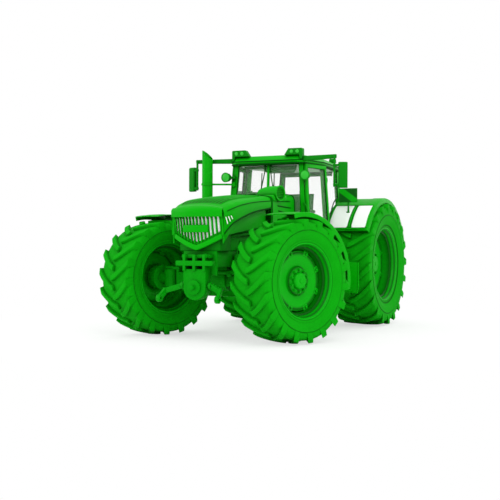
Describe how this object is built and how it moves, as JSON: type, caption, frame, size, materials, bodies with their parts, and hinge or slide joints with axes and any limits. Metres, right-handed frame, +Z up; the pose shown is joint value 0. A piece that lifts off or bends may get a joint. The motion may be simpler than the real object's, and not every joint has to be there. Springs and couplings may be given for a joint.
{
  "type": "farm tractor",
  "caption": "Large farm tractor: sloping bonnet with slatted nose, glazed cab, lugged tyres, steered front axle with mudguards, linkages at both ends.",
  "frame": {"origin": "on the ground midway between the tips of the front and the rear lower links, on the centre plane", "axes": "+X forward, +Y to the driver's left, +Z up"},
  "size_m": [5.2133, 3.2873, 2.722],
  "materials": {
    "enamel": "gloss",
    "casting": "satin",
    "rim": "satin",
    "tyre": "matt",
    "plastic": "matt",
    "glass": "clear",
    "steel": "satin",
    "fabric": "woven",
    "lamp": "gloss"
  },
  "bodies": {
    "chassis": {"front_frame": "casting", "engine_block": "casting", "radiator": "plastic", "transmission_housing": "casting", "rear_axle": "casting", "front_axle_beam": "casting", "hood_cowl": "enamel", "side_shields": "enamel", "cab_floor": "casting", "cab_pillars": "enamel", "cab_roof": "enamel", "cab_walls": "enamel", "cab_glass": "glass", "rear_fenders": "enamel", "marker_boards": "enamel", "fuel_tank": "plastic", "battery_box": "plastic", "steps": "casting", "exhaust": "steel", "air_intake": "enamel", "mirrors": "plastic", "work_lamps": "lamp", "seat": "fabric", "cab_controls": "plastic", "front_hitch": "casting", "drawbar": "casting", "pto_shaft": "steel"},
    "knuckle_left": {"knuckle_left": "casting", "mudguard_left": "plastic"},
    "knuckle_right": {"knuckle_right": "casting", "mudguard_right": "plastic"},
    "tie_rod": {"tie_rod": "steel"},
    "front_wheel_left": {"front_rim_left": "rim", "front_tyre_left": "tyre"},
    "front_wheel_right": {"front_rim_right": "rim", "front_tyre_right": "tyre"},
    "rear_wheel_left": {"rear_rim_left": "rim", "rear_tyre_left": "tyre"},
    "rear_wheel_right": {"rear_rim_right": "rim", "rear_tyre_right": "tyre"},
    "bonnet": {"bonnet_shell": "enamel", "grille": "plastic"},
    "door_left": {"door_left": "enamel", "door_glass_left": "glass"},
    "door_right": {"door_right": "enamel", "door_glass_right": "glass"},
    "front_links": {"front_links": "casting"},
    "rear_links": {"rear_links": "casting"},
    "lift_arms": {"lift_arms": "casting"},
    "lift_rods": {"lift_rods": "steel"}
  },
  "joints": [
    {"name": "steer_left", "type": "hinge", "parent": "chassis", "child": "knuckle_left", "pos_m": [1.65, 0.8, 0.815], "axis": [0, 0, 1], "range_deg": [-15, 55]},
    {"name": "steer_right", "type": "hinge", "parent": "chassis", "child": "knuckle_right", "pos_m": [1.65, -0.8, 0.815], "axis": [0, 0, 1], "range_deg": [-15, 55]},
    {"name": "tie_rod_pivot", "type": "hinge", "parent": "knuckle_left", "child": "tie_rod", "pos_m": [1.42447, 0.88209, 0.753], "axis": [0, 0, 1], "range_deg": [-55, 15]},
    {"name": "spin_front_left", "type": "hinge", "parent": "knuckle_left", "child": "front_wheel_left", "pos_m": [1.75261, 1.08191, 0.815], "axis": [0.342, 0.9397, 0], "continuous": true},
    {"name": "spin_front_right", "type": "hinge", "parent": "knuckle_right", "child": "front_wheel_right", "pos_m": [1.54739, -1.08191, 0.815], "axis": [0.342, 0.9397, 0], "continuous": true},
    {"name": "spin_rear_left", "type": "hinge", "parent": "chassis", "child": "rear_wheel_left", "pos_m": [-1.5, 1, 0.98], "axis": [0, 1, 0], "continuous": true},
    {"name": "spin_rear_right", "type": "hinge", "parent": "chassis", "child": "rear_wheel_right", "pos_m": [-1.5, -1, 0.98], "axis": [0, 1, 0], "continuous": true},
    {"name": "bonnet_hinge", "type": "hinge", "parent": "chassis", "child": "bonnet", "pos_m": [1.044, 0, 1.97], "axis": [0, -1, 0], "range_deg": [0, 50]},
    {"name": "door_left_hinge", "type": "hinge", "parent": "chassis", "child": "door_left", "pos_m": [-0.44, 0.76757, 1.33], "axis": [0, -0.0744, 0.9972], "range_deg": [0, 78]},
    {"name": "door_right_hinge", "type": "hinge", "parent": "chassis", "child": "door_right", "pos_m": [-0.44, -0.76757, 1.33], "axis": [0, -0.0744, -0.9972], "range_deg": [0, 78]},
    {"name": "front_links_swing", "type": "hinge", "parent": "chassis", "child": "front_links", "pos_m": [2.33, 0, 0.745], "axis": [0, -1, 0], "range_deg": [-15, 35]},
    {"name": "rear_links_swing", "type": "hinge", "parent": "chassis", "child": "rear_links", "pos_m": [-1.78, 0, 0.69], "axis": [0, 1, 0], "range_deg": [-20, 26]},
    {"name": "lift_arms_swing", "type": "hinge", "parent": "chassis", "child": "lift_arms", "pos_m": [-1.67, 0, 1.195], "axis": [0, 1, 0], "range_deg": [-20, 26]},
    {"name": "lift_rods_swing", "type": "hinge", "parent": "rear_links", "child": "lift_rods", "pos_m": [-2.1675, 0, 0.645], "axis": [0, 1, 0], "range_deg": [-26, 20]}
  ],
  "couplings": [
    {"joint": "steer_right", "follows": "steer_left", "ratio": 1},
    {"joint": "tie_rod_pivot", "follows": "steer_left", "ratio": -1},
    {"joint": "lift_arms_swing", "follows": "rear_links_swing", "ratio": 1},
    {"joint": "lift_rods_swing", "follows": "rear_links_swing", "ratio": -1}
  ]
}
